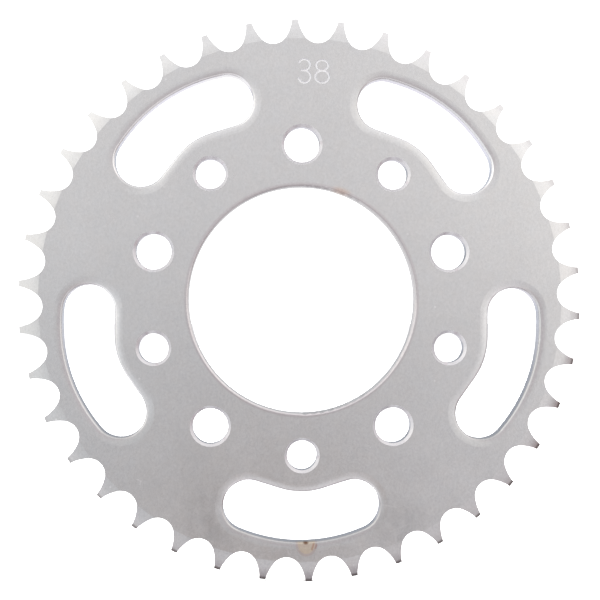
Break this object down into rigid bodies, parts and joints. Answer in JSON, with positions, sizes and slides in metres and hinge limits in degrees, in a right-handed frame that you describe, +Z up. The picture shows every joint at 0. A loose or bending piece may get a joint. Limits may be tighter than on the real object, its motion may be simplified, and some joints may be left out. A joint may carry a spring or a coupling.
{
  "type": "rear sprocket",
  "caption": "Flat round toothed steel plate for a roller chain, with a large hub bore, two alternating sets of bolt holes on one circle, and kidney slots outside them.",
  "frame": {"origin": "on the wheel axis, at the centre of the hub bore, halfway through the plate", "axes": "+Y along the wheel axis towards the wheel hub, so the numbered outer face looks towards -Y; +Z up through one large bolt hole and the engraved number; +X to the right when looking at the outer face"},
  "size_m": [0.1992, 0.0058, 0.1994],
  "materials": {
    "plated_steel": "satin zinc-plated steel, ground faces"
  },
  "bodies": {
    "root": {"sprocket_plate": "plated_steel"}
  },
  "joints": []
}
